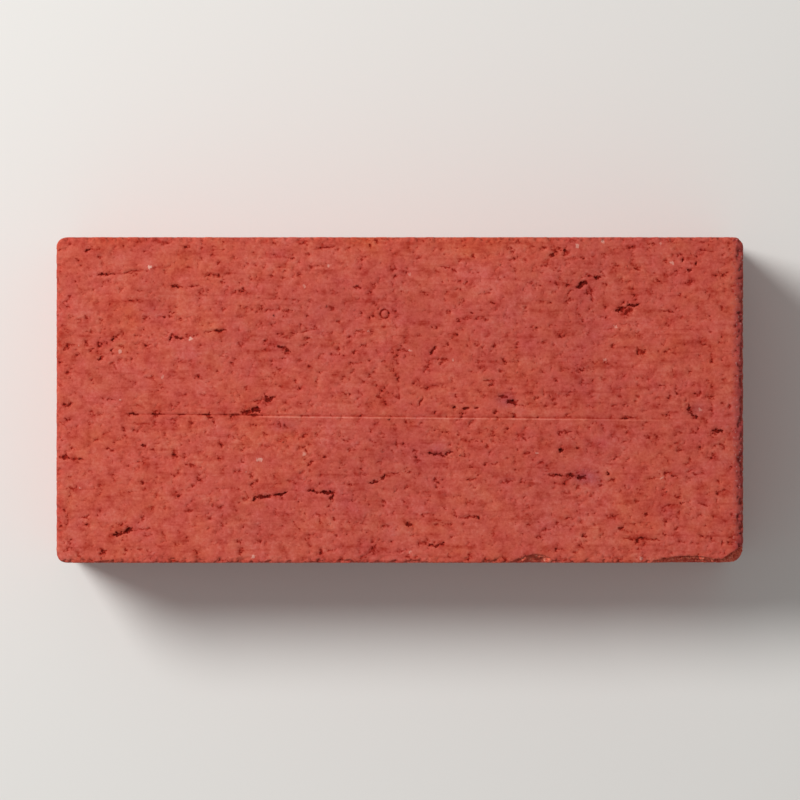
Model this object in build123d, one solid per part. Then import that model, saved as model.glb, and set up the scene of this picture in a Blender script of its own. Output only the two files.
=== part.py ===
from build123d import *

import os

# A solid clay paving brick, extruded through a die and cut off by wires, lying flat as it is laid.
# Millimetres. The origin is at the middle of the bed face. +X runs along the length, the way that
# the cutting wires travelled, +Y across the width and +Z up through the wearing face.

# The clay column and the slice that the wires cut from it
length = 215.0
width = 102.0
thickness = 50.0
die_corner_radius = 3.2
arris_radius = 0.6

# Where the wires leave the slice they drag both cut edges of that end down
exit_roll_run = 3.0
exit_roll_drop = 1.6

# The corner that is broken off the exit end, measured back from the square corner
spall_along_length = 7.6
spall_along_width = 4.6
spall_down_side = 21.0
spall_surface_radius = 70.0

# Two shallow chips in the wearing face's front arris: place of the middle, measured back
# from the exit end, then length along the arris, bite into the face and drop down the side
long_chip_place = 17.0
long_chip_length = 20.0
long_chip_bite = 1.3
long_chip_drop = 5.0
short_chip_place = 65.0
short_chip_length = 10.5
short_chip_bite = 1.9
short_chip_drop = 3.0

# The deepest tears that the wire left in the wearing face: how wide and deep they are, then the
# middle of each, measured from the middle of the face, its length and its turn in degrees
tear_width = 1.9
tear_depth = 0.8
deep_tears = (
    ((-66.7, 35.4), 11.2, -2),
    ((-12.5, 34.6), 4.4, 0),
    ((57.1, 36.0), 5.6, 33),
    ((63.4, 39.1), 4.4, 24),
    ((71.4, 27.9), 7.2, 27),
    ((-56.0, 21.6), 6.4, 9),
    ((-70.5, 19.7), 5.8, 6),
    ((-35.4, 16.8), 4.4, 0),
    ((75.8, 15.5), 4.8, 6),
    ((-41.2, 0.7), 6.4, 22),
    ((33.9, -0.6), 5.0, -17),
    ((20.6, -2.3), 8.0, 0),
    ((-46.2, -3.6), 6.6, 6),
    ((13.4, -16.8), 4.4, 0),
    ((51.8, -23.8), 13.2, -5),
    ((-5.9, -24.4), 5.4, 27),
    ((-25.1, -28.9), 9.8, -2),
    ((-40.5, -30.1), 12.8, 3),
    ((-86.3, -41.7), 5.6, 22),
)


def column_slice():
    """The die's rounded outline, as high as the space between two wires."""
    outline = RectangleRounded(length, width, die_corner_radius)
    return extrude(outline, thickness)


def exit_roll(level, inward):
    """The clay missing over a cut edge at the exit end: inward is +1 at the bed, -1 on top."""
    end = length / 2
    edge_block = Pos(end, level) * Rectangle(2 * exit_roll_run, 2 * exit_roll_drop)
    rolled_clay = Pos(end - exit_roll_run, level + inward * exit_roll_drop) * Ellipse(
        exit_roll_run, exit_roll_drop
    )
    section = Plane.XZ * (edge_block - rolled_clay)
    return extrude(section, width, both=True)


def scoop(arris_point, steepness, surface_radius):
    """A ball that breaks clay away at a point of an arris.

    Each component of steepness is one over the distance at which the fracture meets that axis,
    measured from the arris point, and its sign points out of the clay.
    """
    outward = steepness.normalized()
    depth = 1 / steepness.length
    centre = arris_point + outward * (surface_radius - depth)
    return Pos(centre) * Sphere(surface_radius)


def corner_spall():
    """The broken corner of the wearing face, at the front of the exit end."""
    corner = Vector(length / 2, -width / 2, thickness)
    steepness = Vector(1 / spall_along_length, -1 / spall_along_width, 1 / spall_down_side)
    return scoop(corner, steepness, spall_surface_radius)


def front_chip(place, chip_length, bite, drop):
    """A shallow chip in the front arris of the wearing face."""
    middle = Vector(length / 2 - place, -width / 2, thickness)
    steepness = Vector(0, -1 / bite, 1 / drop)
    depth = 1 / steepness.length
    radius = ((chip_length / 2) ** 2 + depth**2) / (2 * depth)
    return scoop(middle, steepness, radius)


def wire_tear(middle, tear_length, turn):
    """The ring that cuts one tear: the hollow is an arc along the wire's way and an arc across it."""
    keel_radius = ((tear_length / 2) ** 2 + tear_depth**2) / (2 * tear_depth)
    section_radius = ((tear_width / 2) ** 2 + tear_depth**2) / (2 * tear_depth)
    ring = Rotation(90, 0, 0) * Torus(keel_radius - section_radius, section_radius)
    x, y = middle
    return Pos(x, y, thickness - tear_depth + keel_radius) * Rotation(0, 0, turn) * ring


def cut_edges(solid):
    """The edges of both wire-cut faces."""
    wearing_face = solid.faces().sort_by(Axis.Z)[-1]
    bed_face = solid.faces().sort_by(Axis.Z)[0]
    return wearing_face.edges() + bed_face.edges()


def paving_brick():
    """One fired piece: the slice, its arrises, its dragged exit edges, its damage and its tears."""
    brick = column_slice()
    brick = fillet(cut_edges(brick), arris_radius)
    brick -= exit_roll(thickness, inward=-1)
    brick -= exit_roll(0, inward=1)
    brick -= corner_spall()
    brick -= front_chip(long_chip_place, long_chip_length, long_chip_bite, long_chip_drop)
    brick -= front_chip(short_chip_place, short_chip_length, short_chip_bite, short_chip_drop)
    brick -= [wire_tear(middle, tear_length, turn) for middle, tear_length, turn in deep_tears]
    return brick


os.makedirs("parts", exist_ok=True)
export_step(paving_brick(), "parts/paving_brick.step")
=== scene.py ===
import bmesh
import bpy
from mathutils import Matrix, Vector


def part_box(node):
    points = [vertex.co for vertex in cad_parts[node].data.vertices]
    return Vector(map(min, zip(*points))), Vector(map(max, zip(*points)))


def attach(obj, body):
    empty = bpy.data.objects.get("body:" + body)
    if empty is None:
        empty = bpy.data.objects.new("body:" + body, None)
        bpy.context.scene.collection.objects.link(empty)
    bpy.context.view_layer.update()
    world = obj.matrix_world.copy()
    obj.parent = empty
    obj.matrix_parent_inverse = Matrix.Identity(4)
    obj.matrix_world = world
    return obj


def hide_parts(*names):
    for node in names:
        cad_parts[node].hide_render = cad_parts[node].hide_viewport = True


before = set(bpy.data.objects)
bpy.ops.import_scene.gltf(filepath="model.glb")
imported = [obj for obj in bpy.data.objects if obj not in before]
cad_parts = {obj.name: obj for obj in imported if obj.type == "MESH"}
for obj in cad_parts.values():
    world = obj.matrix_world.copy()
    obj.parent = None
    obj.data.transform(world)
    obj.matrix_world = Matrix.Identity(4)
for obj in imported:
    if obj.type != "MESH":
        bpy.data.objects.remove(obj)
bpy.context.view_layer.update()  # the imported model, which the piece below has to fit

lowCorner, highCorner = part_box("paving_brick")
length, width, thickness = highCorner - lowCorner
mm = 0.001  # patterns are laid out in millimetres, and Blender works in metres
halfLength, halfWidth, halfThickness = (size / mm / 2 for size in (length, width, thickness))  # in mm


def hexColour(code):  # sRGB hex, as a paint program shows it, to Blender's linear values
    parts = [int(code[i:i + 2], 16) / 255 for i in (1, 3, 5)]
    return [p / 12.92 if p <= 0.04045 else ((p + 0.055) / 1.055) ** 2.4 for p in parts] + [1]


def addNode(tree, kind, settings=None, inputs=None):  # the settings can be just the name of an operation
    node = tree.nodes.new(kind)
    if isinstance(settings, str):
        settings = {"operation": settings}
    for name, value in (settings or {}).items():
        setattr(node, name, value)
    for key, value in (inputs or {}).items():
        if isinstance(value, bpy.types.Node):
            value = value.outputs[0]
        if isinstance(value, bpy.types.NodeSocket):
            tree.links.new(value, node.inputs[key])
        else:
            node.inputs[key].default_value = value
    return node


smooth = {"interpolation_type": "SMOOTHSTEP"}  # settings that come back often
flatNoise = {"noise_dimensions": "2D"}

# Camera: straight down on the wearing face, from far enough that no side shows
cameraSet = {"distance": 1.6, "frameWidth": 0.25, "sensorWidth": 36, "clipEnd": 20}
bpy.ops.object.camera_add(location=(0, 0, thickness + cameraSet["distance"]), rotation=(0, 0, 0))
camera = bpy.context.object
camera.name = "cameraAbove"
camera.data.sensor_width = cameraSet["sensorWidth"]
camera.data.lens = cameraSet["sensorWidth"] * cameraSet["distance"] / cameraSet["frameWidth"]
camera.data.clip_end = cameraSet["clipEnd"]
bpy.context.scene.camera = camera
print("camera placed")

# Stage: a pale floor and soft light, strongest from the upper left as in the photograph
stageSet = {
    "floorSize": 6,
    "floorColour": "#DAD8D4",
    "floorRoughness": 0.9,
    "keyPlace": (-0.80, 0.54, 1.10),
    "keySize": 0.58,
    "keyPower": 20.0,
    "skyStrength": 0.36,
}
bpy.ops.object.select_all(action="DESELECT")
bpy.ops.mesh.primitive_plane_add(size=stageSet["floorSize"], location=(0, 0, 0))
floor = bpy.context.object
floor.name = "floor"
floorPaint = bpy.data.materials.new("matteFloorPaint")
floorPaint.use_nodes = True
floorShader = floorPaint.node_tree.nodes["Principled BSDF"]
floorShader.inputs["Base Color"].default_value = hexColour(stageSet["floorColour"])
floorShader.inputs["Roughness"].default_value = stageSet["floorRoughness"]
floor.data.materials.append(floorPaint)

bpy.ops.object.light_add(type="AREA", location=stageSet["keyPlace"])
keyLight = bpy.context.object
keyLight.name = "keyLight"
keyLight.data.shape = "DISK"
keyLight.data.size = stageSet["keySize"]
keyLight.data.energy = stageSet["keyPower"]
keyLight.rotation_euler = (-Vector(stageSet["keyPlace"])).to_track_quat("-Z", "Y").to_euler()
sky = bpy.data.worlds.new("evenSky")
sky.use_nodes = True
sky.node_tree.nodes["Background"].inputs["Color"].default_value = (1, 1, 1, 1)
sky.node_tree.nodes["Background"].inputs["Strength"].default_value = stageSet["skyStrength"]
bpy.context.scene.world = sky
bpy.context.scene.view_settings.view_transform = "Standard"
print("stage and light ready")

# What the cutting wire tore out of a cut face. The same pattern makes the hollows and the painted shade in
# them.
# Sizes and depths are in mm, and each noise or range is written as the inputs of its node.
tears = {
    "ripple": {"Scale": 1 / 1.6, "Detail": 3.0, "Roughness": 0.65},
    "raggedReach": 1.1,  # how far the ripple makes an outline wander
    "bunch": {"Scale": 1 / 26, "Detail": 1.0},  # where tears stand closer together
    "otherFace": (531, 317, 0),  # moves the pattern for the bed, so that it differs
    "least": 0.001,  # a share below this counts as nothing
    "crumbly": {"size": (3.4, 2.7, 1), "noise": {"Scale": 1.0, "Detail": 5.0, "Roughness": 0.62},
                "from": 0.55, "to": 0.86, "deep": 0.9, "bunching": 0.12},
    "scattered": (
        {"cell": (12.5, 7.0), "shift": (17.3, 29.6, 0), "long": (1.2, 3.8), "thick": (0.36, 0.85),
         "deep": (0.18, 0.45), "bare": 0.77, "bunching": 0.6},
        {"cell": (3.8, 2.8), "shift": (18.3, 28.6, 0), "long": (0.35, 1.25), "thick": (0.28, 0.64),
         "deep": (0.10, 0.36), "bare": 0.54, "bunching": 0.6},
        # Short cracks that open across the wire's way
        {"cell": (2.7, 4.1), "shift": (19.3, 27.6, 0), "long": (0.22, 0.40), "thick": (0.5, 1.2),
         "deep": (0.10, 0.35), "bare": 0.62, "bunching": 0.8},
    ),
    "lean": (-0.6, 0.6),  # how steeply a scattered tear may cross its cell
    # Where a tear begins and where it is at its full depth. For the drawn ones this is the square of it.
    "scatteredBowl": {"From Min": 1.0, "From Max": 0.35},
    "drawnBowl": {"From Min": 1.1, "From Max": 0.2},
    # Crumbs left standing in the tears, and the share of its depth that each kind keeps under them
    "standing": {"Scale": 1 / 1.1, "Detail": 2.0, "Roughness": 0.6},
    "standingRange": {"From Min": 0.36, "From Max": 0.60, "To Max": 1.1},
    "keptIfCrumbly": 0.22,
    "keptIfFirm": 0.55,
    # A grain that the wire rolled round and left loose in its ring
    "ring": {"at": (-4.8, 26.9, 0), "radius": 1.35, "thick": 0.55, "deep": 0.55},
    # Pale grains of fired grit, each with the tail that it cut as the wire dragged it along
    "grit": {"cell": (13, 9), "shift": (43.7, 11.2, 0), "bare": 0.94, "high": 0.10, "wobble": 1.6,
             "radius": {"To Min": 0.25, "To Max": 0.50}, "edge": {"From Min": -0.12, "From Max": 0.22},
             "brightness": {"To Min": 0.12, "To Max": 0.45}, "tailStart": 0.4, "tailLong": 2.3,
             "tailThick": 0.6, "tailBowl": {"From Min": 1.0, "From Max": 0.4, "To Max": 0.40},
             "placedRadius": 0.72,
             "placed": ((-78.1, 41.5, 0.70), (-65.5, 19.2, 0.62), (-87.5, 15.1, 0.42), (-43.5, -18.6, 0.45),
                        (-30.0, 35.6, 0.25), (-30.0, -16.9, 0.3), (2.9, 39.2, 0.25), (84.9, 42.9, 0.4),
                        (67.5, 22.8, 0.35), (64.1, 12.6, 0.25), (55.4, 48.2, 0.4), (-45.8, -49.0, 0.5),
                        (93.8, -3.0, 0.25), (75.4, -49.7, 0.4), (63.4, 49.6, 0.5), (-44.3, -18.7, 0.38))},
    # The line that a nick in the wire scored most of the way along, with its lip on the lower side, where a
    # painted highlight goes too. Four things change along it, each between two places and from one value to
    # another: how much deeper the line is torn at first, whether it has its lip, where it begins, and how it
    # fades.
    "score": {"across": -5.1, "slope": -0.0088, "halfWidth": 0.38, "deep": 0.22, "lipAside": 0.55,
              "lipHalfWidth": 0.32, "lipHigh": 0.10,
              "dashes": {"From Min": 0.40, "From Max": 0.60, "To Min": 0.05},
              "changes": ((-41, -45, 0.0, 0.34), (-45, -41, 0.0, 1.0), (-86, -82, 0.0, 1.0),
                          (104, 38, 0.15, 1.0))},
}
# Tears that stand out, listed by depth. Each mark is the place of its two ends on the face and its half
# thickness, and a bent tear is two or three marks end to end.
drawnTears = {
    0.95: (
        (-46.3, -31.9, -44.2, -30, 0.5), (-44.8, -30.2, -39.9, -30.2, 0.65),
        (-40.4, -30.1, -34.6, -28.8, 0.5), (-29.3, -28.1, -24.9, -28.9, 0.55),
        (-25.6, -28.8, -19.9, -29.1, 0.6), (-49.5, -4.2, -46, -3.4, 0.9), (-47, -3.4, -43.3, -2.7, 1),
        (-43, -0.7, -38.5, 1.2, 0.75), (-90, -42.4, -86.2, -41.5, 0.75), (-86.9, -41.7, -83.3, -40, 0.85),
        (55, 34.9, 58.8, 37.3, 0.8), (60.4, 37.6, 63.3, 39.1, 0.7), (67.4, 27.3, 71, 29.4, 0.75),
        (70.2, 29.1, 75.3, 29.9, 0.6), (49.5, -15.8, 51.5, -15.9, 0.85), (97.1, -9.6, 101.9, -9.8, 0.6),
        (55, -23.9, 58.8, -24.7, 0.8), (33.2, 0.3, 37, -1.9, 0.85)),
    0.65: (
        (-20.5, -29.1, -22.1, -31.4, 0.5), (-42.3, 2.4, -41.4, -0.6, 0.42), (-60.9, -4.7, -58.2, -5.9, 0.6),
        (-59.7, -3.1, -59.7, -6.6, 0.42), (-85.1, -4.4, -81.3, -4.3, 0.45), (-72.7, 35.8, -67.3, 35.3, 0.65),
        (-95.6, 39.1, -88.2, 39.4, 0.5), (-58.8, 21.5, -54, 22.1, 0.6), (-72.4, 18.2, -70.7, 20.9, 0.5),
        (-70.9, 19.8, -67, 19.1, 0.6), (-94.8, 12.5, -92.4, 13.5, 0.55), (-38.6, 16.8, -35.6, 16.2, 0.65),
        (-36.2, 16.3, -33.8, 14.9, 0.65), (-10.4, -26.3, -6, -25.2, 0.45), (-6.5, -25.4, -4.3, -22.7, 0.5),
        (-15, 35.1, -11.5, 35.3, 0.6), (-99.1, 46.4, -96.3, 47.1, 0.5), (-107, -17.9, -103, -18.2, 0.6),
        (-104.2, -16.5, -104.1, -19, 0.4), (-81.1, -13.7, -79.2, -14.9, 0.5), (69.2, 26.1, 73.4, 28.9, 0.8),
        (9.1, 14, 11.7, 17, 0.55), (30.5, 1.2, 33.8, 0.7, 0.6), (16.7, -1.7, 17.4, -3.5, 0.45),
        (19, -2.6, 22, -2.7, 0.6), (23.2, -2.8, 25.1, -2.5, 0.5), (8.4, -16.6, 13.4, -17.2, 0.45),
        (12, -17, 14.2, -17.6, 0.75), (13.8, -16.9, 17, -16.1, 0.42), (44.9, -23.3, 52.4, -23.6, 0.45),
        (51.6, -23.6, 55.6, -24, 0.55), (64.5, -22, 65.2, -23.3, 0.5), (84.8, -23.8, 87.4, -23.9, 0.5),
        (97.4, -10.2, 99.5, -11, 0.5), (90.5, -1, 89.8, -3.8, 0.5), (89.8, -3.4, 92.5, -5.8, 0.5),
        (74, 15.6, 74.8, 14.2, 0.42), (75.9, 14.9, 76.7, 15.9, 0.42), (68, -40.7, 70.3, -39.6, 0.5),
        (56.8, -42.3, 58.4, -42.4, 0.6), (8.2, -45.4, 12.4, -45.6, 0.5), (11.6, -45.6, 14.4, -44.8, 0.7),
        (46.6, 44.4, 48.9, 46.6, 0.5), (51.2, 45.6, 52, 47.6, 0.5), (88.2, 43.4, 88.8, 44.8, 0.45),
        (89.9, 40.3, 91.3, 40.9, 0.55), (92, 42.2, 92.8, 43.4, 0.45), (-90.3, 18.4, -88.9, 19.8, 0.5),
        (-90.6, 14.9, -89.6, 16.4, 0.5), (24, -36, 24.9, -37.4, 0.45), (92.2, -5.1, 93.4, -5.4, 0.5),
        (1.4, -38.8, 4.6, -39.1, 0.65)),
    0.42: (
        (-48.6, -28.3, -47.7, -30.9, 0.38), (-52.1, -4, -53.1, -6.7, 0.4), (-47.6, -0.6, -41.8, 0.3, 0.45),
        (-38, -6.3, -37.5, -9.1, 0.42), (-36.3, -6.8, -35.3, -9.5, 0.45), (-82.8, -40.1, -77, -40.5, 0.42),
        (-67.7, 35.5, -61.1, 35.6, 0.42), (-88.4, 39.3, -79.3, 40.9, 0.42), (-61.6, 20.8, -57.8, 21.7, 0.42),
        (-105.6, 15.2, -103.1, 17, 0.5), (-97.3, 15.2, -95.2, 16.7, 0.5), (-89.5, 11.5, -88.7, 9.2, 0.42),
        (-4.5, -23, 0.4, -22.8, 0.42), (-27.4, 47, -19.2, 48.4, 0.5), (-103.4, -18.2, -98.1, -18.8, 0.38),
        (-29.9, -14.7, -28.8, -17.5, 0.42), (-6.8, -44.5, -10.3, -48.5, 0.42), (51.8, 33, 54.8, 34.9, 0.38),
        (80.8, 28, 86.5, 27.5, 0.45), (25.8, 6.3, 29.8, 5.9, 0.45), (48.6, -9.9, 54.3, -9.8, 0.45),
        (90.8, -22.9, 94.1, -23.5, 0.5), (95.3, 0.9, 99.2, 1.4, 0.45), (72.4, 42.1, 75.3, 40, 0.7),
        (68.6, -43.1, 83.2, -43.8, 0.45), (16.5, -33.8, 17.9, -37.3, 0.42), (17.6, -37.1, 25.3, -36.1, 0.42),
        (11.2, 41.4, 16.5, 41.5, 0.42), (16.2, 41.6, 18, 39.4, 0.38), (47.8, 46, 50.6, 48.2, 0.8),
        (50.4, 45.1, 53.6, 47, 0.8), (68.1, -5.6, 74.9, -5.5, 0.42), (73.6, 15.4, 77.2, 14.6, 0.9),
        (68.3, 26.4, 73.6, 28.6, 1.5), (-83.3, 19.6, -81.6, 20.2, 0.55), (-83, 17.2, -81.2, 17.8, 0.55),
        (-6.4, 11.6, -4.2, 12.4, 0.5), (12.3, 11.3, 14.6, 12.3, 0.6), (27.6, 30.3, 29.9, 30.4, 0.5),
        (21.6, 27.1, 23.6, 27.3, 0.5), (19.4, 36.2, 21.4, 36.5, 0.5), (25, 16.5, 26.6, 16.9, 0.5),
        (-83.8, -9.3, -82.4, -9.9, 0.45), (-90.4, -13.4, -88.4, -13.4, 0.4),
        (-64.9, -26.2, -64.2, -27.2, 0.45), (-67.8, -19.9, -63.6, -20.6, 0.38),
        (-51.6, -44, -50.2, -44.5, 0.5), (-100.6, -37.2, -96.4, -35.8, 0.42), (-73.6, -6, -69.4, -6.2, 0.36),
        (7.3, 1.5, 5.6, -2.6, 0.42), (-17.6, 2.6, -16.6, 1, 0.4), (-6, 2.2, -7.2, 0.6, 0.42),
        (-1.2, -12.2, -0.8, -15.4, 0.42), (-28.4, -19, -26.8, -19.3, 0.5),
        (-18.9, -20.4, -18.4, -21.8, 0.45), (20, -24.9, 24.9, -24.6, 0.42), (26.6, -12.9, 27.6, -15.6, 0.45),
        (-21.4, -37.2, -19.9, -37.4, 0.5), (-10, -48.2, -13.2, -50.2, 0.6), (73.4, 1.2, 75.1, 1, 0.5),
        (99.8, -0.9, 101.6, -1.1, 0.45), (49.3, -10.8, 50.6, -10.3, 0.6), (76, -10.9, 79.4, -12.4, 0.6),
        (54.3, -15.2, 56.5, -15.1, 0.4), (43.4, -19.5, 45.2, -19.8, 0.45), (98.2, -28.9, 100.4, -29.4, 0.5),
        (87.6, -31.8, 88.6, -32.5, 0.5), (60.6, -35.1, 61.6, -35.5, 0.5), (81.8, -38.2, 84, -38, 0.5),
        (42, -42.9, 45, -42.7, 0.42), (92.8, -42.6, 96, -43, 0.45), (101.2, -43.6, 100.2, -45.6, 0.5),
        (-57.6, 42.4, -56.2, 43.1, 0.45), (-48.6, 42.5, -46.9, 42.7, 0.42), (-105.8, 30.4, -104, 30.8, 0.5),
        (-72.6, 27, -70, 27.2, 0.42), (-43, 18.2, -41, 18.8, 0.5), (-103.8, 9.8, -101.8, 10, 0.45),
        (-12.8, 27.5, -11.4, 27.3, 0.5), (-13, 16.9, -9.6, 17.2, 0.42), (-35.6, 27.8, -33.4, 28.2, 0.5),
        (-2.6, 40, -0.8, 41.2, 0.5), (-9, 48.8, -9.6, 47.2, 0.5)),
}


def cellSpots(tree, place, pattern):  # one spot to a cell: where it is, three dice, and the way from it
    cellX, cellY = pattern["cell"]
    grid = addNode(tree, "ShaderNodeVectorMath", "MULTIPLY_ADD",
                   {0: place, 1: (1 / cellX, 1 / cellY, 0), 2: pattern["shift"]})
    spots = addNode(tree, "ShaderNodeTexVoronoi", {"voronoi_dimensions": "2D"},
                    {"Vector": grid, "Scale": 1.0})
    dice = addNode(tree, "ShaderNodeSeparateXYZ", None, {0: spots.outputs["Color"]})
    away = addNode(tree, "ShaderNodeVectorMath", "SUBTRACT", {0: grid, 1: spots.outputs["Position"]})
    return spots.outputs["Position"], dice.outputs, away


def crumblyPatches(tree, face):  # drawn out along the wire's way, and deepest where they are widest
    crumbly = tears["crumbly"]
    drawnOut = addNode(tree, "ShaderNodeVectorMath", "DIVIDE", {0: face, 1: crumbly["size"]})
    crumbs = addNode(tree, "ShaderNodeTexNoise", flatNoise, {"Vector": drawnOut, **crumbly["noise"]})
    bunch = addNode(tree, "ShaderNodeTexNoise", flatNoise, {"Vector": face, **tears["bunch"]})
    bunched = addNode(tree, "ShaderNodeMath", "MULTIPLY_ADD", {0: bunch, 1: crumbly["bunching"], 2: crumbs})
    depth = addNode(tree, "ShaderNodeMapRange", None,
                    {"Value": bunched, "From Min": crumbly["from"] + crumbly["bunching"] / 2,
                     "From Max": crumbly["to"] + crumbly["bunching"] / 2, "To Max": crumbly["deep"]})
    return depth, crumbs


def scatteredTears(tree, ragged, layer):  # the depth of short tears, one to a cell at most
    cellX, cellY = layer["cell"]
    spot, dice, away = cellSpots(tree, ragged, layer)
    bunchPlace = addNode(tree, "ShaderNodeVectorMath", "MULTIPLY", {0: spot, 1: (cellX, cellY, 0)})
    bunch = addNode(tree, "ShaderNodeTexNoise", flatNoise, {"Vector": bunchPlace, **tears["bunch"]})
    bare = addNode(tree, "ShaderNodeMapRange", None,
                   {"Value": bunch, "To Min": layer["bare"] + layer["bunching"] / 2,
                    "To Max": layer["bare"] - layer["bunching"] / 2})
    kept = addNode(tree, "ShaderNodeMapRange", None, {"Value": dice[0], "From Min": bare})
    present = addNode(tree, "ShaderNodeMath", "GREATER_THAN", {0: kept, 1: tears["least"]})
    keptSquare = addNode(tree, "ShaderNodeMath", "MULTIPLY", {0: kept, 1: kept})
    sizes = []
    for share, (least, most), cell in ((keptSquare, layer["long"], cellX), (dice[1], layer["thick"], cellY),
                                       (dice[2], tears["lean"], 1), (dice[1], layer["deep"], 1)):
        sizes.append(addNode(tree, "ShaderNodeMapRange", None,
                             {"Value": share, "To Min": least / cell, "To Max": most / cell}))
    halfLong, halfThick, slope, fullDepth = sizes
    part = addNode(tree, "ShaderNodeSeparateXYZ", None, {0: away})
    sloped = addNode(tree, "ShaderNodeMath", "MULTIPLY_ADD",
                     {0: part.outputs[0], 1: slope, 2: part.outputs[1]})
    alongShare = addNode(tree, "ShaderNodeMath", "DIVIDE", {0: part.outputs[0], 1: halfLong})
    acrossShare = addNode(tree, "ShaderNodeMath", "DIVIDE", {0: sloped, 1: halfThick})
    inTear = addNode(tree, "ShaderNodeCombineXYZ", None, {0: alongShare, 1: acrossShare})
    reach = addNode(tree, "ShaderNodeVectorMath", "LENGTH", {0: inTear})
    bowl = addNode(tree, "ShaderNodeMapRange", smooth,
                   {"Value": reach.outputs["Value"], **tears["scatteredBowl"]})
    shownDepth = addNode(tree, "ShaderNodeMath", "MULTIPLY", {0: fullDepth, 1: present})
    return addNode(tree, "ShaderNodeMath", "MULTIPLY", {0: bowl, 1: shownDepth})


def drawnDepth(tree, face, ragged):  # each mark is an oval, and of each depth the nearest one counts
    onFace = addNode(tree, "ShaderNodeVectorMath", "ADD", {0: ragged, 1: (0, 0, 1)})
    strongest = 0.0
    for deep, marks in drawnTears.items():
        nearest = 9.0  # well outside any oval, whose edge is at 1
        for startX, startY, endX, endY, halfThick in marks:
            run = Vector((endX - startX, endY - startY))
            middle = Vector((startX + endX, startY + endY)) / 2
            lengthwise = run.normalized() / (run.length / 2)
            sideways = Vector((-run.y, run.x)).normalized() / halfThick
            along = addNode(tree, "ShaderNodeVectorMath", "DOT_PRODUCT",
                            {0: onFace, 1: (*lengthwise, -lengthwise.dot(middle))})
            across = addNode(tree, "ShaderNodeVectorMath", "DOT_PRODUCT",
                             {0: onFace, 1: (*sideways, -sideways.dot(middle))})
            alongSquare = addNode(tree, "ShaderNodeMath", "MULTIPLY",
                                  {0: along.outputs["Value"], 1: along.outputs["Value"]})
            reach = addNode(tree, "ShaderNodeMath", "MULTIPLY_ADD",
                            {0: across.outputs["Value"], 1: across.outputs["Value"], 2: alongSquare})
            nearest = addNode(tree, "ShaderNodeMath", "MINIMUM", {0: nearest, 1: reach})
        depth = addNode(tree, "ShaderNodeMapRange", smooth,
                        {"Value": nearest, **tears["drawnBowl"], "To Max": deep})
        strongest = addNode(tree, "ShaderNodeMath", "MAXIMUM", {0: strongest, 1: depth})
    ring = tears["ring"]
    fromRing = addNode(tree, "ShaderNodeVectorMath", "DISTANCE", {0: face, 1: ring["at"]})
    offRing = addNode(tree, "ShaderNodeMath", "SUBTRACT", {0: fromRing.outputs["Value"], 1: ring["radius"]})
    ringSide = addNode(tree, "ShaderNodeMath", "ABSOLUTE", {0: offRing})
    ringDepth = addNode(tree, "ShaderNodeMapRange", smooth,
                        {"Value": ringSide, "From Min": ring["thick"], "From Max": 0.0,
                         "To Max": ring["deep"]})
    return addNode(tree, "ShaderNodeMath", "MAXIMUM", {0: strongest, 1: ringDepth})


def paleGrains(tree, face, wobble):  # how pale the grit makes a place, and how deep it is in a grain's tail
    grit = tears["grit"]
    cellX, cellY = grit["cell"]
    _, dice, away = cellSpots(tree, face, grit)
    present = addNode(tree, "ShaderNodeMath", "GREATER_THAN", {0: dice[0], 1: grit["bare"]})
    awayMm = addNode(tree, "ShaderNodeVectorMath", "MULTIPLY", {0: away, 1: (cellX, cellY, 0)})
    uneven = addNode(tree, "ShaderNodeVectorMath", "MULTIPLY_ADD",
                     {0: wobble, 1: (grit["wobble"], grit["wobble"], 0), 2: awayMm})
    fromGrain = addNode(tree, "ShaderNodeVectorMath", "LENGTH", {0: uneven})
    radius = addNode(tree, "ShaderNodeMapRange", None, {"Value": dice[1], **grit["radius"]})
    insideGrain = addNode(tree, "ShaderNodeMath", "SUBTRACT", {0: radius, 1: fromGrain.outputs["Value"]})
    grain = addNode(tree, "ShaderNodeMapRange", smooth, {"Value": insideGrain, **grit["edge"]})
    brightness = addNode(tree, "ShaderNodeMapRange", None, {"Value": dice[2], **grit["brightness"]})
    shownGrain = addNode(tree, "ShaderNodeMath", "MULTIPLY", {0: present, 1: brightness})
    pale = addNode(tree, "ShaderNodeMath", "MULTIPLY", {0: grain, 1: shownGrain})
    behind = addNode(tree, "ShaderNodeVectorMath", "ADD",
                     {0: uneven, 1: (grit["tailLong"] + grit["tailStart"], 0, 0)})
    tailShare = addNode(tree, "ShaderNodeVectorMath", "DIVIDE",
                        {0: behind, 1: (grit["tailLong"], grit["tailThick"], 1)})
    tailReach = addNode(tree, "ShaderNodeVectorMath", "LENGTH", {0: tailShare})
    tail = addNode(tree, "ShaderNodeMapRange", smooth,
                   {"Value": tailReach.outputs["Value"], **grit["tailBowl"]})
    tailHere = addNode(tree, "ShaderNodeMath", "MULTIPLY", {0: tail, 1: present})
    rough = addNode(tree, "ShaderNodeVectorMath", "MULTIPLY_ADD",
                    {0: wobble, 1: (grit["wobble"], grit["wobble"], 0), 2: face})
    for x, y, share in grit["placed"]:
        fromPlaced = addNode(tree, "ShaderNodeVectorMath", "DISTANCE", {0: rough, 1: (x, y, 0)})
        placed = addNode(tree, "ShaderNodeMapRange", smooth,
                         {"Value": fromPlaced.outputs["Value"], "From Min": grit["placedRadius"],
                          "From Max": grit["placedRadius"] / 2, "To Max": share})
        pale = addNode(tree, "ShaderNodeMath", "MAXIMUM", {0: pale, 1: placed})
    return pale, tailHere


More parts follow.
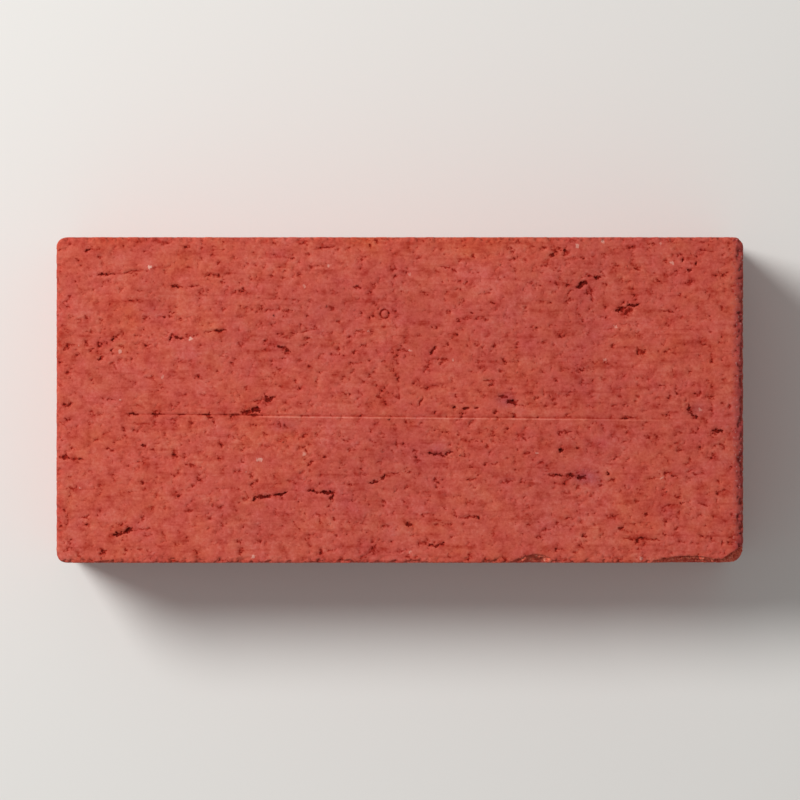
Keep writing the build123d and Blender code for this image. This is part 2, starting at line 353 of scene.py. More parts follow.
def scoredLine(tree, face, crumbs):  # how deep the line is at a place, and the share of its lip there
    score = tears["score"]
    part = addNode(tree, "ShaderNodeSeparateXYZ", None, {0: face})
    off = addNode(tree, "ShaderNodeMath", "MULTIPLY_ADD",
                  {0: part.outputs[0], 1: -score["slope"], 2: part.outputs[1]})
    offLine = addNode(tree, "ShaderNodeMath", "SUBTRACT", {0: off, 1: score["across"]})
    offLip = addNode(tree, "ShaderNodeMath", "ADD", {0: offLine, 1: score["lipAside"]})
    profiles = []
    for away, half in ((offLine, score["halfWidth"]), (offLip, score["lipHalfWidth"])):
        aside = addNode(tree, "ShaderNodeMath", "ABSOLUTE", {0: away})
        profiles.append(addNode(tree, "ShaderNodeMapRange", smooth,
                                {"Value": aside, "From Min": half, "From Max": 0.0}))
    groove, lip = profiles
    changed = []
    for start, end, before, after in score["changes"]:
        changed.append(addNode(tree, "ShaderNodeMapRange", smooth,
                               {"Value": part.outputs[0], "From Min": start, "From Max": end,
                                "To Min": before, "To Max": after}))
    tornHere, lipStarts, begun, fading = changed
    dashes = addNode(tree, "ShaderNodeMapRange", None, {"Value": crumbs, **score["dashes"]})
    tornMore = addNode(tree, "ShaderNodeMath", "MULTIPLY_ADD", {0: tornHere, 1: dashes, 2: score["deep"]})
    grooveDepth = addNode(tree, "ShaderNodeMath", "MULTIPLY", {0: groove, 1: tornMore})
    # The bed's pattern lies far beyond this, and only the wearing face has the line
    notOnBed = addNode(tree, "ShaderNodeMath", "LESS_THAN",
                       {0: part.outputs[0], 1: tears["otherFace"][0] / 2})
    shownLine = addNode(tree, "ShaderNodeMath", "MULTIPLY", {0: begun, 1: fading})
    lineHere = addNode(tree, "ShaderNodeMath", "MULTIPLY", {0: shownLine, 1: notOnBed})
    scored = addNode(tree, "ShaderNodeMath", "MULTIPLY", {0: grooveDepth, 1: lineHere})
    lipHere = addNode(tree, "ShaderNodeMath", "MULTIPLY", {0: lip, 1: lineHere})
    lipAndHighlightShare = addNode(tree, "ShaderNodeMath", "MULTIPLY", {0: lipHere, 1: lipStarts})
    return scored, lipAndHighlightShare


def tornByWire(tree, face):  # at a place on the cut face: the depth in mm, the pale share, and the lip's share, which also places a painted highlight
    ripple = addNode(tree, "ShaderNodeTexNoise", flatNoise, {"Vector": face, **tears["ripple"]})
    centred = addNode(tree, "ShaderNodeVectorMath", "SUBTRACT",
                      {0: ripple.outputs["Color"], 1: (0.5, 0.5, 0.5)})
    ragged = addNode(tree, "ShaderNodeVectorMath", "MULTIPLY_ADD",
                     {0: centred, 1: [2 * tears["raggedReach"]] * 2 + [0], 2: face})
    deepest, crumbs = crumblyPatches(tree, face)
    for layer in tears["scattered"]:
        depth = scatteredTears(tree, ragged, layer)
        deepest = addNode(tree, "ShaderNodeMath", "MAXIMUM", {0: deepest, 1: depth})
    standing = addNode(tree, "ShaderNodeTexNoise", flatNoise, {"Vector": face, **tears["standing"]})
    wobble = addNode(tree, "ShaderNodeVectorMath", "SUBTRACT",
                     {0: standing.outputs["Color"], 1: (0.5, 0.5, 0.5)})
    pale, tail = paleGrains(tree, face, wobble)
    deepest = addNode(tree, "ShaderNodeMath", "MAXIMUM", {0: deepest, 1: tail})

    # Crumbs left standing make each kind of tear shallower
    hollow = 0.0
    for torn, least in ((deepest, tears["keptIfCrumbly"]),
                        (drawnDepth(tree, face, ragged), tears["keptIfFirm"])):
        keptShare = addNode(tree, "ShaderNodeMapRange", None,
                            {"Value": standing, **tears["standingRange"], "To Min": least})
        depth = addNode(tree, "ShaderNodeMath", "MULTIPLY", {0: torn, 1: keptShare})
        hollow = addNode(tree, "ShaderNodeMath", "MAXIMUM", {0: hollow, 1: depth})
    scored, lipAndHighlightShare = scoredLine(tree, face, crumbs)
    hollow = addNode(tree, "ShaderNodeMath", "ADD", {0: hollow, 1: scored})
    hollow = addNode(tree, "ShaderNodeMath", "MULTIPLY_ADD",
                     {0: lipAndHighlightShare, 1: -tears["score"]["lipHigh"], 2: hollow})
    clearOfGrain = addNode(tree, "ShaderNodeMath", "SUBTRACT", {0: 1.0, 1: pale})
    hollow = addNode(tree, "ShaderNodeMath", "MULTIPLY", {0: hollow, 1: clearOfGrain})
    hollow = addNode(tree, "ShaderNodeMath", "MULTIPLY_ADD", {0: pale, 1: -tears["grit"]["high"], 2: hollow})
    return hollow, pale, lipAndHighlightShare


def placeOnCutFace(tree, placeMm):  # flattens a place to the cut face, and moves the pattern on the bed
    part = addNode(tree, "ShaderNodeSeparateXYZ", None, {0: placeMm})
    onBed = addNode(tree, "ShaderNodeMath", "LESS_THAN", {0: part.outputs[2], 1: halfThickness})
    shift = addNode(tree, "ShaderNodeVectorMath", "SCALE", {0: tears["otherFace"], "Scale": onBed})
    return addNode(tree, "ShaderNodeVectorMath", "MULTIPLY_ADD", {0: placeMm, 1: (1, 1, 0), 2: shift})


# What the die left on the column's sides, drawn out the way that the column moved through it
die = {
    "lines": {"Scale": 1 / 1.7, "Detail": 4.0, "Roughness": 0.6},
    "lineStretch": (1, 1, 0.07),
    "pits": {"Scale": 1 / 2.4, "Detail": 3.0, "Roughness": 0.7},
    "pitStretch": (1, 1, 0.45),
    "pitRange": {"From Min": 0.62, "From Max": 0.74},
}


def draggedByDie(tree, placeMm):  # the lines on the sides, and the pits as a share of their depth
    noises = []
    for kind, stretch in (("lines", "lineStretch"), ("pits", "pitStretch")):
        drawnOut = addNode(tree, "ShaderNodeVectorMath", "MULTIPLY", {0: placeMm, 1: die[stretch]})
        noises.append(addNode(tree, "ShaderNodeTexNoise", None, {"Vector": drawnOut, **die[kind]}))
    pitShare = addNode(tree, "ShaderNodeMapRange", smooth, {"Value": noises[1], **die["pitRange"]})
    return noises[0], pitShare


# The brick: the die's rounded block, its broken corner and chips, then the fired clay's relief
brick = {
    "dieCorner": 3.2 * mm,
    "arris": 0.6 * mm,
    "coarseGrid": 0.6 * mm,
    "faceCuts": 1,
    "faceBand": 2.2 * mm,
    "damageReach": 23 * mm,
    "triangles": 190000,
    # The relief is in plain mm, as its patterns are: first how far each kind goes in
    "swell": 0.16,
    "dragLines": 0.08,
    "grit": 0.10,
    "dieLines": 0.16,
    "diePits": 0.55,
    "fractureDepth": 1.9,
    "crumbDepth": 0.9,
    "crumbBand": 2.6,  # how far from an arris the crumbs reach
    "exitCrumbs": 0.35,  # how much deeper the crumbs are at the exit end, as a share
    "exitBand": 1.2,  # and how much further in they reach
    "exitRollRun": 3.0,  # where the wires dragged the clay down as they left it
    "exitRollDrop": 1.6,
    "coreInset": 5.0,  # the relief goes in towards a core this far inside, so that no arris folds over
    "swellNoise": {"Scale": 1 / 30, "Detail": 1.0},
    "dragNoise": {"Scale": 1 / 1.3, "Detail": 3.0},
    "dragStretch": (0.06, 1, 0),
    "gritNoise": {"Scale": 1 / 1.1, "Detail": 3.0, "Roughness": 0.6},
    "crumbNoise": {"Scale": 1 / 2.4, "Detail": 4.0, "Roughness": 0.62},
    "crumbRange": {"From Min": 0.44, "From Max": 0.66},
    "lumpNoise": {"Scale": 1 / 3.2, "Detail": 5.0, "Roughness": 0.74},
    "lumpRange": {"From Min": 0.38, "From Max": 0.64},
    # How level the clay is where the side ends, and where the cut face begins
    "cutRange": {"From Min": 0.35, "From Max": 0.8},
    "brokenBand": (0.8, 0.3),  # how far off a scoop the clay still counts as broken, a little and fully
}
bpy.ops.object.select_all(action="DESELECT")
bpy.ops.mesh.primitive_cube_add(size=1, location=(lowCorner + highCorner) / 2)
body = bpy.context.object
body.name = "firedBrick"
bpy.ops.transform.resize(value=(length, width, thickness))
bpy.ops.object.transform_apply(location=True, rotation=True, scale=True)


def selectEdges(wanted):  # in edit mode, selects the edges whose two ends pass the test
    shape = bmesh.from_edit_mesh(bpy.context.object.data)
    for edge in shape.edges:
        edge.select_set(False)
    for edge in shape.edges:
        if wanted(*(corner.co for corner in edge.verts)):
            edge.select_set(True)
    bmesh.update_edit_mesh(bpy.context.object.data)


bpy.ops.object.mode_set(mode="EDIT")
bpy.ops.mesh.select_mode(type="EDGE")
selectEdges(lambda a, b: abs(a.z - b.z) > thickness / 2)
bpy.ops.mesh.bevel(offset=brick["dieCorner"], segments=8, affect="EDGES")
selectEdges(lambda a, b: abs(a.z - b.z) < mm / 100)
bpy.ops.mesh.bevel(offset=brick["arris"], segments=3, affect="EDGES")
bpy.ops.object.mode_set(mode="OBJECT")
print("block with rounded upright corners")

# Damage: each scoop is a ball that meets the arrises at the stated distances from a point
damage = {
    "corner": {"at": (length / 2, -width / 2, thickness), "radius": 70 * mm,
               "meets": (7.6 * mm, -4.6 * mm, 21 * mm)},
    "longChip": {"at": (length / 2 - 17 * mm, -width / 2, thickness), "radius": 40.4 * mm,
                 "meets": (None, -1.3 * mm, 5.0 * mm)},
    "shortChip": {"at": (length / 2 - 65 * mm, -width / 2, thickness), "radius": 9.4 * mm,
                  "meets": (None, -1.9 * mm, 3.0 * mm)},
}
scoopCentres = {}
for name, scoop in damage.items():
    steepness = Vector([0 if reach is None else 1 / reach for reach in scoop["meets"]])
    centre = Vector(scoop["at"]) + steepness.normalized() * (scoop["radius"] - 1 / steepness.length)
    scoopCentres[name] = centre
    bpy.ops.object.select_all(action="DESELECT")
    bpy.ops.mesh.primitive_ico_sphere_add(subdivisions=6, radius=scoop["radius"], location=centre)
    ball = bpy.context.object
    ball.name = name
    cut = body.modifiers.new(name, "BOOLEAN")
    cut.operation = "DIFFERENCE"
    cut.object = ball
    bpy.context.view_layer.objects.active = body
    bpy.ops.object.modifier_apply(modifier=name)
    bpy.data.objects.remove(ball)
print("broken corner and chips cut")

# A fine grid, finer still on the wearing face and round the broken corner
remesh = body.modifiers.new("grid", "REMESH")
remesh.mode = "VOXEL"
remesh.voxel_size = brick["coarseGrid"]
bpy.context.view_layer.objects.active = body
body.select_set(True)
bpy.ops.object.modifier_apply(modifier="grid")
bpy.ops.object.mode_set(mode="EDIT")
bpy.ops.mesh.select_mode(type="FACE")
shape = bmesh.from_edit_mesh(body.data)
brokenCorner = Vector(damage["corner"]["at"])
for square in shape.faces:
    centre = square.calc_center_median()
    square.select_set(centre.z > thickness - brick["faceBand"]
                      or (centre - brokenCorner).length < brick["damageReach"])
bmesh.update_edit_mesh(body.data)
bpy.ops.mesh.subdivide(number_cuts=brick["faceCuts"])
bpy.ops.object.mode_set(mode="OBJECT")
print("grid faces", len(body.data.polygons))

# Relief, as geometry
relief = bpy.data.node_groups.new("clayRelief", "GeometryNodeTree")
for way in ("INPUT", "OUTPUT"):
    relief.interface.new_socket("Geometry", in_out=way, socket_type="NodeSocketGeometry")
geometry = addNode(relief, "NodeGroupInput")
place = addNode(relief, "GeometryNodeInputPosition")
placeMm = addNode(relief, "ShaderNodeVectorMath", "SCALE", {0: place, "Scale": 1 / mm})
part = addNode(relief, "ShaderNodeSeparateXYZ", None, {0: placeMm})
facing = addNode(relief, "GeometryNodeInputNormal")
upward = addNode(relief, "ShaderNodeSeparateXYZ", None, {0: facing})
upOrDown = addNode(relief, "ShaderNodeMath", "ABSOLUTE", {0: upward.outputs[2]})
cutShare = addNode(relief, "ShaderNodeMapRange", smooth, {"Value": upOrDown, **brick["cutRange"]})

# Where the clay is broken, and how much a place near an arris has crumbled
brokenShare = 0.0
for name, scoop in damage.items():
    fromCentre = addNode(relief, "ShaderNodeVectorMath", "DISTANCE", {0: place, 1: scoopCentres[name]})
    offBall = addNode(relief, "ShaderNodeMath", "SUBTRACT",
                      {0: fromCentre.outputs["Value"], 1: scoop["radius"]})
    besideBall = addNode(relief, "ShaderNodeMath", "ABSOLUTE", {0: offBall})
    onBall = addNode(relief, "ShaderNodeMapRange", smooth,
                     {"Value": besideBall, "From Min": brick["brokenBand"][0] * mm,
                      "From Max": brick["brokenBand"][1] * mm})
    brokenShare = addNode(relief, "ShaderNodeMath", "MAXIMUM", {0: brokenShare, 1: onBall})
fromMiddle = addNode(relief, "ShaderNodeMath", "SUBTRACT", {0: part.outputs[2], 1: halfThickness})
insides = []
for away, half in ((part.outputs[0], halfLength), (part.outputs[1], halfWidth), (fromMiddle, halfThickness)):
    distance = addNode(relief, "ShaderNodeMath", "ABSOLUTE", {0: away})
    insides.append(addNode(relief, "ShaderNodeMath", "SUBTRACT", {0: half, 1: distance}))
inward = addNode(relief, "ShaderNodeMath", "MINIMUM", {0: insides[0], 1: insides[1]})
fromArris = addNode(relief, "ShaderNodeMath", "MAXIMUM", {0: inward, 1: insides[2]})
exitShare = addNode(relief, "ShaderNodeMapRange", None,
                    {"Value": part.outputs[0], "From Min": halfLength - brick["exitRollRun"],
                     "From Max": halfLength})
wornReach = addNode(relief, "ShaderNodeMath", "MULTIPLY_ADD",
                    {0: exitShare, 1: -brick["exitBand"], 2: fromArris})
nearArris = addNode(relief, "ShaderNodeMapRange", smooth,
                    {"Value": wornReach, "From Min": brick["crumbBand"], "From Max": 0.0})
crumbs = addNode(relief, "ShaderNodeTexNoise", None, {"Vector": placeMm, **brick["crumbNoise"]})
crumbShare = addNode(relief, "ShaderNodeMapRange", smooth, {"Value": crumbs, **brick["crumbRange"]})
crumbHere = addNode(relief, "ShaderNodeMath", "MULTIPLY", {0: nearArris, 1: crumbShare})
moreAtExit = addNode(relief, "ShaderNodeMath", "MULTIPLY_ADD", {0: exitShare, 1: brick["exitCrumbs"], 2: 1.0})
arrisCrumbsAndShade = addNode(relief, "ShaderNodeMath", "MULTIPLY", {0: crumbHere, 1: moreAtExit})
for name, share in (("cutShare", cutShare), ("brokenShare", brokenShare), ("arrisCrumbsAndShade", arrisCrumbsAndShade)):
    geometry = addNode(relief, "GeometryNodeStoreNamedAttribute", None,
                       {"Geometry": geometry, "Name": name, "Value": share})

# The exit end is pulled towards mid thickness along a quarter ellipse
rollSquare = addNode(relief, "ShaderNodeMath", "MULTIPLY", {0: exitShare, 1: exitShare})
rollRest = addNode(relief, "ShaderNodeMath", "SUBTRACT", {0: 1.0, 1: rollSquare})
rollRoot = addNode(relief, "ShaderNodeMath", "SQRT", {0: rollRest})
keptHeight = addNode(relief, "ShaderNodeMapRange", None,
                     {"Value": rollRoot, "To Min": 1 - brick["exitRollDrop"] / halfThickness})
rolledHeight = addNode(relief, "ShaderNodeMath", "MULTIPLY_ADD",
                       {0: fromMiddle, 1: keptHeight, 2: halfThickness})
rolledMm = addNode(relief, "ShaderNodeCombineXYZ", None,
                   {0: part.outputs[0], 1: part.outputs[1], 2: rolledHeight})
rolledPlace = addNode(relief, "ShaderNodeVectorMath", "SCALE", {0: rolledMm, "Scale": mm})
rolled = addNode(relief, "GeometryNodeSetPosition", None, {"Geometry": geometry, "Position": rolledPlace})

# Cut faces: a slow swell, lines along the wire's way, grit, and what the wire tore out
face = placeOnCutFace(relief, placeMm)
tornDepth, paleShare, lipAndHighlightShare = tornByWire(relief, face)
swell = addNode(relief, "ShaderNodeTexNoise", flatNoise, {"Vector": face, **brick["swellNoise"]})
stretched = addNode(relief, "ShaderNodeVectorMath", "MULTIPLY", {0: face, 1: brick["dragStretch"]})
dragLines = addNode(relief, "ShaderNodeTexNoise", flatNoise, {"Vector": stretched, **brick["dragNoise"]})
grit = addNode(relief, "ShaderNodeTexNoise", None, {"Vector": placeMm, **brick["gritNoise"]})

cutDown = 0.0
for pattern, depth in ((swell, brick["swell"]), (dragLines, brick["dragLines"]), (grit, brick["grit"]),
                       (tornDepth, 1.0)):
    cutDown = addNode(relief, "ShaderNodeMath", "MULTIPLY_ADD", {0: pattern, 1: depth, 2: cutDown})

# Sides: the die's skin, with faint lines and drawn-out pits the way that the column moved
dieLines, pitShare = draggedByDie(relief, placeMm)
dieDown = 0.0
for pattern, depth in ((dieLines, brick["dieLines"]), (pitShare, brick["diePits"])):
    dieDown = addNode(relief, "ShaderNodeMath", "MULTIPLY_ADD", {0: pattern, 1: depth, 2: dieDown})
allDown = addNode(relief, "ShaderNodeMix", None, {0: cutShare, 2: dieDown, 3: cutDown})

# Broken clay is coarse and stepped, and crumbled arrises go in too. All of it goes towards the core.
lumps = addNode(relief, "ShaderNodeTexNoise", None, {"Vector": placeMm, **brick["lumpNoise"]})
lumpDepth = addNode(relief, "ShaderNodeMapRange", None,
                    {"Value": lumps, **brick["lumpRange"], "To Max": brick["fractureDepth"]})
for name, depth in (("brokenShare", lumpDepth), ("arrisCrumbsAndShade", brick["crumbDepth"])):
    stored = addNode(relief, "GeometryNodeInputNamedAttribute", None, {"Name": name})
    allDown = addNode(relief, "ShaderNodeMath", "MULTIPLY_ADD", {0: stored, 1: depth, 2: allDown})
inset = Vector([brick["coreInset"]] * 3)
aboveLow = addNode(relief, "ShaderNodeVectorMath", "MAXIMUM", {0: placeMm, 1: lowCorner / mm + inset})
inCore = addNode(relief, "ShaderNodeVectorMath", "MINIMUM", {0: aboveLow, 1: highCorner / mm - inset})
toCore = addNode(relief, "ShaderNodeVectorMath", "SUBTRACT", {0: inCore, 1: placeMm})
wayIn = addNode(relief, "ShaderNodeVectorMath", "NORMALIZE", {0: toCore})
push = addNode(relief, "ShaderNodeMath", "MULTIPLY", {0: allDown, 1: mm})
offset = addNode(relief, "ShaderNodeVectorMath", "SCALE", {0: wayIn, "Scale": push})
pushed = addNode(relief, "GeometryNodeSetPosition", None, {"Geometry": rolled, "Offset": offset})
addNode(relief, "NodeGroupOutput", None, {0: pushed})

modifier = body.modifiers.new("relief", "NODES")
modifier.node_group = relief
bpy.ops.object.modifier_apply(modifier="relief")
print("relief worked in")

# Fewer triangles, taken first from where the clay is flattest
triangleCount = sum(len(polygon.vertices) - 2 for polygon in body.data.polygons)
thin = body.modifiers.new("thin", "DECIMATE")
thin.ratio = brick["triangles"] / triangleCount
bpy.ops.object.modifier_apply(modifier="thin")
bpy.ops.object.shade_smooth()
print("triangles", triangleCount, "thinned to", sum(len(p.vertices) - 2 for p in body.data.polygons))

# Fired clay: a wire-cut and kiln-fired earthenware body, unglazed, so it is matte and even in tone,
# with softly warmer and cooler patches from the kiln, and painted shade in its hollows
clay = {
    # From the painted shade of the deepest hollow to the palest skin, each at its share of the tone
    "tones": ((0.0, "#5C1008"), (0.14, "#82190F"), (0.34, "#9C2E21"), (0.68, "#BB5344"),
              (1.0, "#CF7565")),
    "evenTone": 0.685,
    # Patterns all over the clay: size in mm, detail, roughness, and how much each changes the tone
    "patterns": {"grain": (0.9, 3, 0.6, 0.42), "speckle": (0.42, 1, 0.5, 0.18),
                 "mottle": (6, 3, 0.6, 0.36), "slow": (34, 2, 0.5, 0.22)},
    # Marks: where in its pattern each starts and where it is full, and what it does to the tone
    "streaks": (0.56, 0.76, -0.12),
    "stain": (0.48, 0.72, -0.22),
    # painted shade: the tears darkened in colour by their depth
    "paintedHollowShade": (0.0, 1.0, -0.60),
    "dieStreaks": (0.56, 0.74, -0.16),
    "dieScuffs": (0.44, 0.28, 0.14),
    "diePits": (0.0, 1.0, -0.40),
    # painted shade on the crumbled arrises, as a darker tone
    "crumbShadeTone": -0.16,
    # painted highlight along the scored line's lip
    "lipHighlightTone": 0.26,
    "fullShadeDepth": 0.65,  # a hollow this deep in mm has all its painted shade
    "streakNoise": {"Scale": 1 / 1.6, "Detail": 2.0},
    "streakStretch": (0.10, 1, 0),
    "stainNoise": {"Scale": 1 / 3.2, "Detail": 4.0, "Roughness": 0.62},
    "stainStretch": (1 / 1.2, 1, 1),
    # Inside, from the pores to the palest grains
    "brokenTones": ((0.30, "#9A2C20"), (0.44, "#C44D3C"), (0.58, "#D66C55"), (0.78, "#E8AC96")),
    # darker and mauve: partly painted shade of the rolled, crumbly edge, partly its dull tint
    "rolledTintAndShade": "#84343A",
    "rolledShare": 0.50,
    "rolledReach": 4.2,  # mm from the exit end
    "rolledRagged": 5.0,  # and how far that edge wanders
    # pale specks on the rolled edge: partly dust, partly painted highlights
    "edgeDustAndGlint": "#C08E88",
    "dustGlintNoise": {"Scale": 1 / 0.8, "Detail": 1.0},
    "dustGlintRange": {"From Min": 0.63, "From Max": 0.75, "To Max": 0.70},
    "paleGrit": "#E0B0A0",
    "insideNoise": {"Scale": 1 / 1.3, "Detail": 4.0, "Roughness": 0.7},
    "insideRange": {"From Min": 0.35, "From Max": 0.60},
    "insideRagged": 1.4,
    "kilnNoise": {"Scale": 1 / 42, "Detail": 3.0},
    "kiln": (("#FFFCE9", 0.72), ("#F6F4FF", 0.28)),  # warm at one end of the patches, rose at the other
    "driftNoise": {"Scale": 1 / 7, "Detail": 2.0},
    "hueDrift": (0.06, 0.36, 0.44),  # how far red, green and blue each wander
    # Flashes of kiln colour that stand out: middle on the face, reach, and what they turn the clay to
    "flashes": (((-9, 51), (16, 10), "#FFFBDE"), ((22, 50), (20, 8), "#FFF6E4"),
                ((-90, 50), (16, 6), "#FFF0DC"), ((-77, 33), (9, 13), "#F1ECFF"),
                ((58, -24), (8, 4), "#E6DEFF"), ((33, 0), (5, 4), "#E6DEFF"),
                ((-36, -8), (7, 4), "#ECE6FF"), ((12, -16), (5, 4), "#F0E8FF"),
                ((92, 18), (6, 8), "#F6E8FA"), ((92, -3), (5, 4), "#E6E8FF")),
    "roughness": {"From Min": 0.2, "To Min": 0.96, "To Max": 0.82},  # the darker the tone, the duller
    "shine": 0.1,
    "bumpHigh": 0.14 * mm,
    "bumpStrength": 0.7,
}
firedClay = bpy.data.materials.new("firedRedClay")
firedClay.use_nodes = True
paint = firedClay.node_tree
shader = paint.nodes["Principled BSDF"]
where = addNode(paint, "ShaderNodeTexCoord")
objectMm = addNode(paint, "ShaderNodeVectorMath", "SCALE", {0: where.outputs["Object"], "Scale": 1 / mm})
face = placeOnCutFace(paint, objectMm)
tornDepth, paleShare, lipAndHighlightShare = tornByWire(paint, face)
dieLines, pitShare = draggedByDie(paint, objectMm)
stored = {}
for name in ("cutShare", "brokenShare", "arrisCrumbsAndShade"):
    stored[name] = addNode(paint, "ShaderNodeAttribute", {"attribute_name": name}).outputs["Fac"]
onCut = stored["cutShare"]
onSide = addNode(paint, "ShaderNodeMath", "SUBTRACT", {0: 1.0, 1: onCut})

# Tone: fine grain, speckles, mottling and slow changes, all over the clay
tone = clay["evenTone"]
patterns = {}
for name, (size, detail, roughness, effect) in clay["patterns"].items():
    patterns[name] = addNode(paint, "ShaderNodeTexNoise", None,
                             {"Vector": objectMm, "Scale": 1 / size, "Detail": detail,
                              "Roughness": roughness})
    centred = addNode(paint, "ShaderNodeMath", "SUBTRACT", {0: patterns[name], 1: 0.5})
    tone = addNode(paint, "ShaderNodeMath", "MULTIPLY_ADD", {0: centred, 1: effect, 2: tone})

# Cut faces have streaks along the wire's way, stain, painted shade in the tears and on crumbled arrises, and
# a painted highlight on the line's lip. Sides have thin streaks and scuffs where the die dragged their skin,
# and darker pits.
stretched = addNode(paint, "ShaderNodeVectorMath", "MULTIPLY", {0: face, 1: clay["streakStretch"]})
streaks = addNode(paint, "ShaderNodeTexNoise", flatNoise, {"Vector": stretched, **clay["streakNoise"]})
smear = addNode(paint, "ShaderNodeVectorMath", "MULTIPLY", {0: face, 1: clay["stainStretch"]})
stain = addNode(paint, "ShaderNodeTexNoise", flatNoise, {"Vector": smear, **clay["stainNoise"]})
# Painted shade: the deeper a tear, the darker its colour, standing in for the shade inside it
paintedHollowShade = addNode(paint, "ShaderNodeMapRange", smooth, {"Value": tornDepth, "From Max": clay["fullShadeDepth"]})
marks = (("streaks", streaks, onCut), ("stain", stain, onCut), ("paintedHollowShade", paintedHollowShade, onCut),
         ("dieStreaks", dieLines, onSide), ("dieScuffs", dieLines, onSide), ("diePits", pitShare, onSide))
for name, pattern, on in marks:
    start, full, effect = clay[name]
    mark = addNode(paint, "ShaderNodeMapRange", None,
                   {"Value": pattern, "From Min": start, "From Max": full, "To Max": effect})
    tone = addNode(paint, "ShaderNodeMath", "MULTIPLY_ADD", {0: mark, 1: on, 2: tone})
# Painted shade on the crumbled arrises, and a painted highlight along the scored line's lip
for share, effect in ((stored["arrisCrumbsAndShade"], "crumbShadeTone"), (lipAndHighlightShare, "lipHighlightTone")):
    tone = addNode(paint, "ShaderNodeMath", "MULTIPLY_ADD", {0: share, 1: clay[effect], 2: tone})


def toneColours(value, tones):  # a ramp with a colour at each share of the tone
    ramp = addNode(paint, "ShaderNodeValToRGB", None, {0: value})
    stops = ramp.color_ramp.elements
    while len(stops) < len(tones):
        stops.new(0.5)
    for stop, (share, code) in zip(stops, tones):
        stop.position = share
        stop.color = hexColour(code)
    return ramp


# Kiln colour: wide patches, flashes, and a drift in hue, all multiplied onto the skin
layers = []
patches = addNode(paint, "ShaderNodeTexNoise", None, {"Vector": objectMm, **clay["kilnNoise"]})
for code, fullAt in clay["kiln"]:
    share = addNode(paint, "ShaderNodeMapRange", smooth,
                    {"Value": patches, "From Min": 0.5, "From Max": fullAt})
    layers.append(("MULTIPLY", share, hexColour(code)))
for middle, reach, code in clay["flashes"]:
    away = addNode(paint, "ShaderNodeVectorMath", "SUBTRACT", {0: face, 1: (*middle, 0)})
    flashPlace = addNode(paint, "ShaderNodeVectorMath", "DIVIDE", {0: away, 1: (*reach, 1)})
    flashReach = addNode(paint, "ShaderNodeVectorMath", "LENGTH", {0: flashPlace})
    share = addNode(paint, "ShaderNodeMapRange", smooth,
                    {"Value": flashReach.outputs["Value"], "From Min": 1.0, "From Max": 0.0})
    layers.append(("MULTIPLY", share, hexColour(code)))
drift = addNode(paint, "ShaderNodeTexNoise", None, {"Vector": objectMm, **clay["driftNoise"]})
driftTint = addNode(paint, "ShaderNodeVectorMath", "MULTIPLY_ADD",
                    {0: drift.outputs["Color"], 1: clay["hueDrift"],
                     2: [1 - reach / 2 for reach in clay["hueDrift"]]})
layers.append(("MULTIPLY", 1.0, driftTint))

# The rolled edge is painted darker and mauve, partly as painted shade among its crumbs and partly as its dull
# tint, with pale specks on it that are partly dust and partly painted highlights
part = addNode(paint, "ShaderNodeSeparateXYZ", None, {0: objectMm})
grainOff = addNode(paint, "ShaderNodeMath", "SUBTRACT", {0: patterns["grain"], 1: 0.5})
raggedX = addNode(paint, "ShaderNodeMath", "MULTIPLY_ADD",
                  {0: grainOff, 1: clay["rolledRagged"], 2: part.outputs[0]})
onRoll = addNode(paint, "ShaderNodeMapRange", smooth,
                 {"Value": raggedX, "From Min": halfLength - clay["rolledReach"],
                  "From Max": halfLength - clay["rolledReach"] / 3})
rollHere = addNode(paint, "ShaderNodeMath", "MULTIPLY", {0: onRoll, 1: onCut})
rollTintShadeShare = addNode(paint, "ShaderNodeMath", "MULTIPLY", {0: rollHere, 1: clay["rolledShare"]})
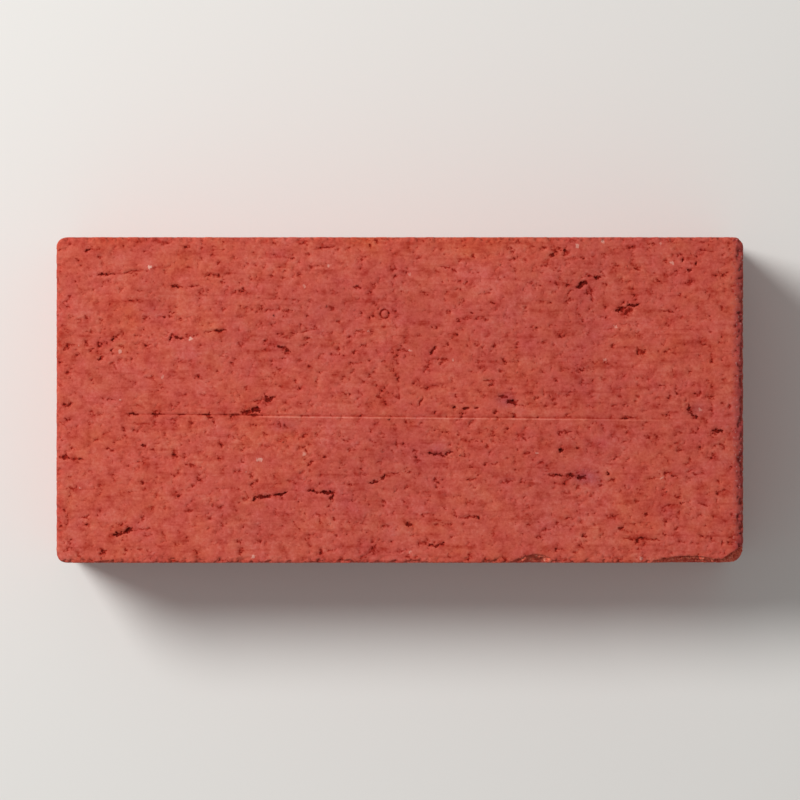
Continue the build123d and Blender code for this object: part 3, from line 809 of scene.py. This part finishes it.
# Pale specks: partly dust, partly painted highlights on the rolled edge
specks = addNode(paint, "ShaderNodeTexNoise", None, {"Vector": objectMm, **clay["dustGlintNoise"]})
speckShare = addNode(paint, "ShaderNodeMapRange", smooth, {"Value": specks, **clay["dustGlintRange"]})
dustGlintHere = addNode(paint, "ShaderNodeMath", "MULTIPLY", {0: speckShare, 1: rollHere})

# Pale grit, then broken clay
paleHere = addNode(paint, "ShaderNodeMath", "MULTIPLY", {0: paleShare, 1: onCut})
ragged = addNode(paint, "ShaderNodeMath", "MULTIPLY_ADD",
                 {0: grainOff, 1: clay["insideRagged"], 2: stored["brokenShare"]})
insideShare = addNode(paint, "ShaderNodeMapRange", smooth, {"Value": ragged, **clay["insideRange"]})
grains = addNode(paint, "ShaderNodeTexNoise", None, {"Vector": objectMm, **clay["insideNoise"]})
layers += [("MIX", rollTintShadeShare, hexColour(clay["rolledTintAndShade"])), ("MIX", dustGlintHere, hexColour(clay["edgeDustAndGlint"])),
           ("MIX", paleHere, hexColour(clay["paleGrit"])),
           ("MIX", insideShare, toneColours(grains, clay["brokenTones"]))]
colour = toneColours(tone, clay["tones"])
for blend, share, tint in layers:
    mixed = addNode(paint, "ShaderNodeMix", {"data_type": "RGBA", "blend_type": blend},
                    {0: share, 6: colour, 7: tint})
    colour = mixed.outputs[2]
paint.links.new(colour, shader.inputs["Base Color"])
dullness = addNode(paint, "ShaderNodeMapRange", None, {"Value": tone, **clay["roughness"]})
paint.links.new(dullness.outputs[0], shader.inputs["Roughness"])
shader.inputs["Specular IOR Level"].default_value = clay["shine"]

# Fine grain, and on the sides the die's scratches, as bump
scratches = addNode(paint, "ShaderNodeMath", "MULTIPLY", {0: dieLines, 1: onSide})
coarseHeight = addNode(paint, "ShaderNodeMath", "ADD", {0: patterns["grain"], 1: scratches})
height = addNode(paint, "ShaderNodeMath", "MULTIPLY_ADD", {0: patterns["speckle"], 1: 0.5, 2: coarseHeight})
bump = addNode(paint, "ShaderNodeBump", None,
               {"Height": height, "Distance": clay["bumpHigh"], "Strength": clay["bumpStrength"]})
paint.links.new(bump.outputs["Normal"], shader.inputs["Normal"])
body.data.materials.clear()
body.data.materials.append(firedClay)
print("fired clay mixed")

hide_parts("paving_brick")
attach(body, "root")
